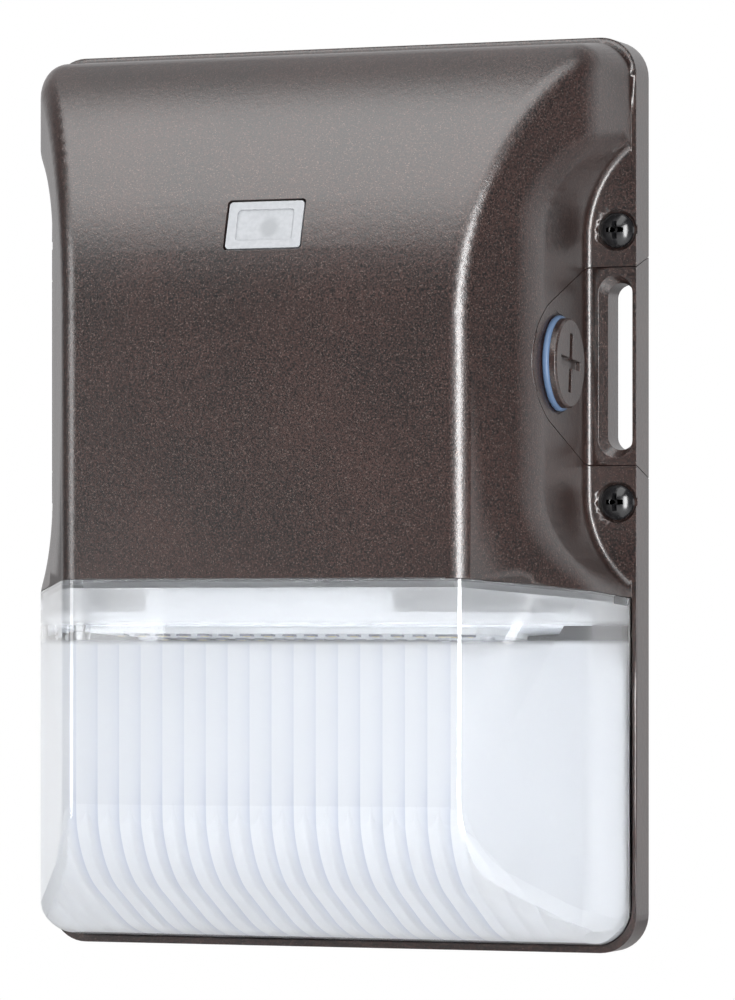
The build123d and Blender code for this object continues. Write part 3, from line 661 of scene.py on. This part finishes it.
first = led_box[0].x + package_size / 2
last = led_box[1].x - package_size / 2
led_places = [
    (first + (last - first) * column / (led_columns - 1), y, led_box[1].z)
    for y in (led_box[0].y + package_size / 2, led_box[1].y - package_size / 2)
    for column in range(led_columns)
]
package_values = {
    "Finish": led_finish,
    "Size": package_size,
    "Height": package_height,
    "Dome Radius": dome_radius,
    "Dome Height": dome_height,
}
led_piece = package_tree.grown("led_packages", led_places, package_values)
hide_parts("leds")
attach(led_piece, "cover")


# Driver: a folded aluminium case with a riveted lid of the same metal. Two screws hold it to
# bosses behind the brow.
can = plated("driver_aluminium", (0.70, 0.71, 0.72, 1), 0.32)
dress(["driver_case", "driver_lid"], can)


# Wiring: black insulated leads of the driver, the board and the photocell, with three orange
# twist-on connectors where the driver's leads would meet the supply.
lead_black = moulded("lead_insulation", (0.018, 0.018, 0.019, 1), 0.35, 400, 0.00002, 0.2)
nut_orange = moulded("connector_orange", (0.80, 0.22, 0.03, 1), 0.4, 400, 0.00004, 0.1)
dress(["led_leads", "supply_leads", "photocell_leads"], lead_black)
dress(["wire_nuts"], nut_orange)


# Photocell: a grey sensor in a rubber cup behind a frosted polycarbonate window, which is pressed
# into the cover's brow. The sensor's soft shadow on the window is painted into the window's colour.
sensor_grey = moulded("sensor_grey", (0.42, 0.43, 0.44, 1), 0.5, 500, 0.00002, 0.1)
dress(["photocell"], sensor_grey)

frosted, shade = new_material("frosted_window")
place = shade.node("TexCoord", None, None, 3)
frost = shade.node("TexNoise", None, {"Vector": place, "Scale": 900, "Detail": 3.0})
frost_bump = shade.node("Bump", None, {"Strength": 0.3, "Distance": 0.00005, "Height": frost})
sensor_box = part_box("photocell")
sensor_middle = (sensor_box[0] + sensor_box[1]) / 2
sensor_shift = Vector((0.0012, 0, 0.0012))
# Painted shadow: the window's colour darkens in a soft round patch over the sensor.
shadow_inner = 0.0015
shadow_outer = 0.0034
painted_shadow_strength = 0.8
window_pale = (0.34, 0.35, 0.365, 1)
window_dull = (0.30, 0.31, 0.325, 1)
painted_window_shadow = (0.24, 0.25, 0.26, 1)
glow_share = 0.12
from_sensor = shade.node(
    "VectorMath",
    {"operation": "SUBTRACT"},
    {0: place, 1: sensor_middle + sensor_shift},
)
flattened = shade.node("VectorMath", {"operation": "MULTIPLY"}, {0: from_sensor, 1: (1, 0, 1)})
distance = shade.node("VectorMath", {"operation": "LENGTH"}, {0: flattened}, 1)
shadow = 1 - distance.ramp(shadow_inner, shadow_outer)
pale = frost.ramp(0.3, 0.7).blend(window_dull, window_pale)
window_body = shade.node(
    "BsdfPrincipled",
    None,
    {
        "Base Color": (shadow * painted_shadow_strength).blend(pale, painted_window_shadow),
        "Roughness": 0.42 + frost * 0.2,
        "Specular IOR Level": 0.3,
        "Normal": frost_bump,
    },
)
window_glow = shade.node("BsdfTranslucent", None, {"Color": (0.80, 0.84, 0.88, 1)})
close_material(
    shade, shade.node("MixShader", None, {0: glow_share, 1: window_body, 2: window_glow})
)
dress(["photocell_window"], frosted)


# Lens: one moulding of clear polycarbonate, smooth outside, with upright flutes inside its face
# and belly. Its inside is hazed except for a strip level with the LEDs, and each flute's haze is
# painted darker towards one side as painted shade. It sits on the silicone bead in the cover's rim.
lens_tint = (0.965, 0.98, 1.0, 1)
haze_bright = (0.98, 0.99, 1.0, 1)
haze_painted_shade = (0.66, 0.70, 0.80, 1)
haze_beside_tray = 0.68
haze_at_leds = 0.14
haze_below = 0.74
haze_bottom = 0.0810
haze_top = 0.0830
tray_haze_bottom = 0.0858
tray_haze_top = 0.0880
hollow_depth = 0.022
hollow_low = 0.025
hollow_high = 0.085
hollow_spread = 0.6
glass_roughness = 0.02
haze_roughness = 0.2
strip_roughness = 0.03
flute_count = 24
flute_margins = 0.0209
flute_pitch = (cad_box[1].x - cad_box[0].x - flute_margins) / flute_count
clear_plastic = {"IOR": 1.585, "Transmission Weight": 1.0}
flute_ends = 0.0535
flute_fade = 0.003
belly_low = 0.030
belly_high = 0.055
face_painted_shade = 0.4


def polycarbonate(name, hazed):
    """Clear plastic with a faint moulding ripple. A hazed face scatters a share of the light and has
    painted shade across its flutes.
    """
    material, shade = new_material(name)
    place = shade.node("TexCoord", None, None, 3)
    ripple = shade.node("TexNoise", None, {"Vector": place, "Scale": 45, "Detail": 1.0})
    bump = shade.node("Bump", None, {"Strength": 0.05, "Distance": 0.0004, "Height": ripple})
    if not hazed:
        glass = {"Base Color": lens_tint, "Roughness": glass_roughness, "Normal": bump}
        surface = shade.node("BsdfPrincipled", None, dict(glass, **clear_plastic))
        close_material(shade, surface)
        return material
    across = shade.node("SeparateXYZ", None, {"Vector": place})
    level = shade.node("SeparateXYZ", None, {"Vector": place}, 2) - cad_box[0].z
    above = level.ramp(haze_bottom, haze_top)
    roughness = haze_roughness - above * (haze_roughness - strip_roughness)
    glass = {"Base Color": lens_tint, "Roughness": roughness, "Normal": bump}
    surface = shade.node("BsdfPrincipled", None, dict(glass, **clear_plastic))
    # Painted shade: each flute's haze darkens gradually towards one side and ends in a sharp line, more on
    # the belly than on the face.
    phase = across.maths("FRACT", across / flute_pitch + 0.5)
    deeper = 1 - level.ramp(belly_low, belly_high)
    painted_flute_shade = (phase**3) * (face_painted_shade + deeper * (1 - face_painted_shade))
    beyond = across.maths("ABSOLUTE", across).ramp(flute_ends, flute_ends + flute_fade)
    hazes = []
    for colour in (haze_bright, haze_painted_shade):
        bounced = shade.node("BsdfDiffuse", None, {"Color": colour, "Normal": bump})
        passed = shade.node("BsdfTranslucent", None, {"Color": colour, "Normal": bump})
        hazes.append(shade.node("MixShader", None, {0: 0.5, 1: bounced, 2: passed}))
    painted_shade_share = painted_flute_shade * (1 - beyond) * (1 - above)
    scattered = shade.node("MixShader", None, {0: painted_shade_share, 1: hazes[0], 2: hazes[1]})
    beside_tray = level.ramp(tray_haze_bottom, tray_haze_top)
    share = haze_below - above * (haze_below - haze_at_leds)
    share = share + beside_tray * (haze_beside_tray - haze_at_leds)
    surface = shade.node("MixShader", None, {0: share, 1: surface, 2: scattered})
    close_material(shade, surface)
    return material


def merged_copy(node, name):
    """A copy of a CAD node's mesh with its loose triangles joined, as a new object."""
    shape = bmesh.new()
    shape.from_mesh(nodes[node].data)
    bmesh.ops.remove_doubles(shape, verts=shape.verts, dist=weld_distance)
    mesh = bpy.data.meshes.new(name)
    shape.to_mesh(mesh)
    shape.free()
    mesh.shade_smooth()
    mesh.set_sharp_from_angle(angle=crease_angle)
    mesh.materials.clear()
    piece = bpy.data.objects.new(name, mesh)
    bpy.context.scene.collection.objects.link(piece)
    return piece


lens_piece = merged_copy("lens", "fluted_lens")
lens_piece.data.materials.append(polycarbonate("clear_polycarbonate", False))
lens_piece.data.materials.append(polycarbonate("hazed_polycarbonate", True))
for face in lens_piece.data.polygons:
    height = face.center.z - cad_box[0].z
    heart = Vector((hollow_spread * face.center.x, -hollow_depth, 0))
    heart.z = cad_box[0].z + min(max(height, hollow_low), hollow_high)
    faces_hollow = face.normal.dot(face.center - heart) < 0
    face.material_index = 1 if faces_hollow else 0
lens_even = lens_piece.modifiers.new("even_shading", "WEIGHTED_NORMAL")
lens_even.keep_sharp = True
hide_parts("lens")
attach(lens_piece, "cover")


# Conduit plug: a hollow half-inch plug with a cross slot, in the castings' finish, on a pale blue
# silicone ring. Only the right entry has one, and the left one is blank.
plug_edge = 0.3 * millimetre
plug_coat = powder_coat("bronze_plug_coat", plug_edge)
silicone = moulded("blue_silicone", (0.075, 0.125, 0.215, 1), 0.4, 400, 0.00002, 0.1)
dress(["conduit_plug"], plug_coat)
dress(["plug_seal"], silicone)


# Cover screws: four gloss black steel screws with domed heads and cross recesses. Each stays in
# the cover on its rubber washer when it is backed out.
black_gloss = moulded("black_screw_coat", (0.010, 0.010, 0.011, 1), 0.14, 900, 0.00003, 0.2)
cover_screw = {
    "Head Radius": 4.7 * millimetre,
    "Head Height": 3.0 * millimetre,
    "Head Roundness": 3.0,
    "Shank Radius": 2.35 * millimetre,
    "Thread Pitch": 0.8 * millimetre,
    "Recess Reach": 6.4 * millimetre,
    "Recess Depth": 2.2 * millimetre,
}
for corner in corners:
    node = "cover_screw_" + corner
    fit_screws(node, "screw_" + corner, black_gloss, cover_screw, facing_front)


# Studio: a pale floor under the light and four soft lamps: a large one overhead, tall ones at the
# right and the left, and a wide one low in front. The world is dark in front and white behind.
view_azimuth = radians(20.92)
view_distance = 1.45457
view_level = -0.03454
camera_data = bpy.data.cameras.new("camera")
camera_data.sensor_width = 36
camera_data.lens = 193.73
camera_data.shift_x = 0.01511
camera_data.shift_y = 0.12645
camera_data.clip_start = 0.05
camera = bpy.data.objects.new("camera", camera_data)
camera.location = (view_distance * sin(view_azimuth), -view_distance * cos(view_azimuth), view_level)
camera.rotation_euler = (pi / 2, 0, view_azimuth)
bpy.context.scene.collection.objects.link(camera)
bpy.context.scene.camera = camera


def soft_lamp(name, width, height, place, target, power):
    """A rectangular soft lamp that faces a point."""
    lamp_data = bpy.data.lights.new(name, "AREA")
    lamp_data.shape = "RECTANGLE"
    lamp_data.size = width
    lamp_data.size_y = height
    lamp_data.energy = power
    lamp = bpy.data.objects.new(name, lamp_data)
    lamp.location = place
    lamp.rotation_euler = (Vector(target) - Vector(place)).to_track_quat("-Z", "Y").to_euler()
    bpy.context.scene.collection.objects.link(lamp)


soft_lamp(
    "overhead_lamp", width=1.4, height=1.15, place=(-0.1, -0.5, 0.98), target=(0, 0, 0.06), power=16.2
)
soft_lamp(
    "right_lamp", width=0.30, height=1.2, place=(0.76, -0.94, 0.0), target=(0, -0.03, 0), power=23.7
)
soft_lamp(
    "left_lamp", width=0.30, height=1.0, place=(-0.86, -0.74, 0.1), target=(0, -0.03, 0.03), power=5.8
)
soft_lamp(
    "low_lamp", width=1.2, height=0.6, place=(0.0, -0.75, -0.80), target=(0, -0.03, -0.07), power=9
)

floor_drop = 0.42
floor_mesh = bpy.data.meshes.new("floor")
floor_half = 4.0
floor_level = cad_box[0].z - floor_drop
floor_corners = [
    (side * floor_half, end * floor_half, floor_level)
    for side, end in ((-1, -1), (1, -1), (1, 1), (-1, 1))
]
floor_mesh.from_pydata(floor_corners, [], [(0, 1, 2, 3)])
floor = bpy.data.objects.new("floor", floor_mesh)
bpy.context.scene.collection.objects.link(floor)
floor_paint, shade = new_material("pale_floor")
floor_grey = (0.86, 0.86, 0.86, 1)
brightened_share = 0.85
paint = shade.node("BsdfPrincipled", None, {"Base Color": floor_grey, "Roughness": 0.9})
bright = shade.node("Emission", None, {"Color": (1, 1, 1, 1), "Strength": 1.0})
seen = shade.node("LightPath", None, None, 0)
close_material(
    shade, shade.node("MixShader", None, {0: seen * brightened_share, 1: paint, 2: bright})
)
floor_mesh.materials.append(floor_paint)

world = bpy.data.worlds.new("studio")
world.use_nodes = True
world.node_tree.nodes.clear()
shade = Shade(world.node_tree)
direction = shade.node("TexCoord", None, None, 0)
towards = shade.node("SeparateXYZ", None, {"Vector": direction}, 1)
behind = towards.ramp(0.1, 0.6)
front_grey = (0.09, 0.09, 0.095, 1)
back_white = (0.95, 0.95, 0.96, 1)
studio_grey = behind.blend(front_grey, back_white)
camera_ray = shade.node("LightPath", None, None, 0)
through_ray = shade.node("LightPath", None, None, 6)
white_share = camera_ray + through_ray
background = shade.node("Background", None, {"Color": white_share.blend(studio_grey, (1, 1, 1, 1))})
shade.node("OutputWorld", None, {"Surface": background})
bpy.context.scene.world = world
bpy.context.scene.view_settings.view_transform = "Standard"
